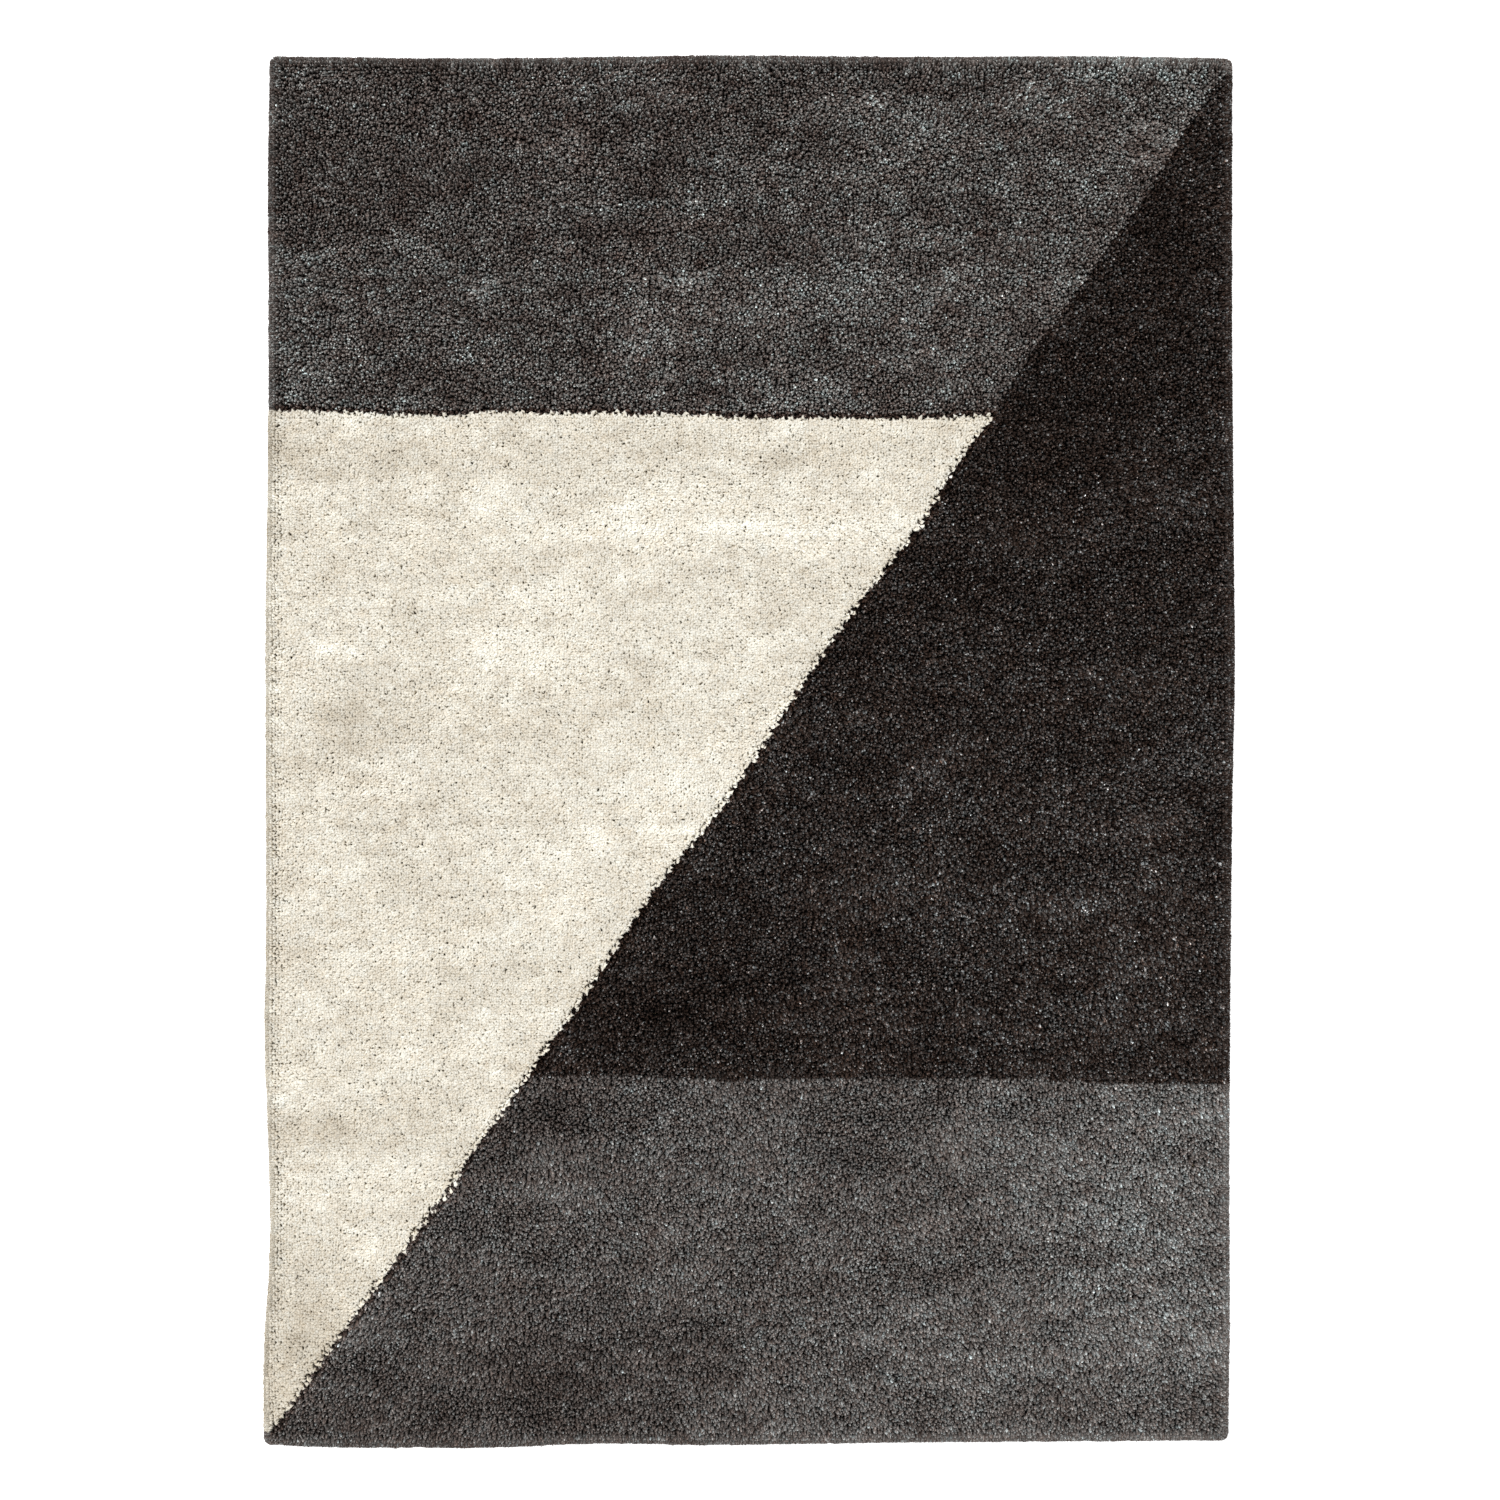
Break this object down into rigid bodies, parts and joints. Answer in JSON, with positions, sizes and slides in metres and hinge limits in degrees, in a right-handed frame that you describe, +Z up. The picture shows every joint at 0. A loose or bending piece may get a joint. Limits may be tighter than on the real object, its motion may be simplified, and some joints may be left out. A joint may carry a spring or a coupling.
{
  "type": "area rug",
  "caption": "Rectangular cut-pile area rug with plain colour fields parted by a long diagonal, on a latex-backed woven ground with overlocked edges.",
  "frame": {"origin": "middle of the rug's bounding box, on the floor that it lies on", "axes": "+X across the width, +Y along the length towards the end with the darker grey field, +Z up out of the pile"},
  "size_m": [1.6112, 2.3092, 0.024],
  "materials": {
    "pile_grey": "cut pile of twisted synthetic yarn, dark grey melange",
    "pile_cream": "cut pile of twisted synthetic yarn, warm cream",
    "pile_charcoal": "cut pile of twisted synthetic yarn, brown-black",
    "pile_light_grey": "cut pile of twisted synthetic yarn, mid grey melange",
    "ground_cloth": "plain ribbed jute and cotton weave",
    "latex": "thin matt size that follows the ribs of the cloth",
    "serging_yarn": "close wrapped overlock yarn, dark grey",
    "filler_cord": "undyed twisted cotton"
  },
  "bodies": {
    "root": {"pile_top_grey": "pile_grey", "pile_cream": "pile_cream", "pile_charcoal": "pile_charcoal", "pile_lower_grey": "pile_light_grey", "ground_cloth": "ground_cloth", "latex_coat": "latex", "edge_serging_left": "serging_yarn", "edge_serging_right": "serging_yarn", "edge_serging_top": "serging_yarn", "edge_serging_bottom": "serging_yarn", "edge_cord_left": "filler_cord", "edge_cord_right": "filler_cord", "edge_cord_top": "filler_cord", "edge_cord_bottom": "filler_cord"}
  },
  "joints": []
}
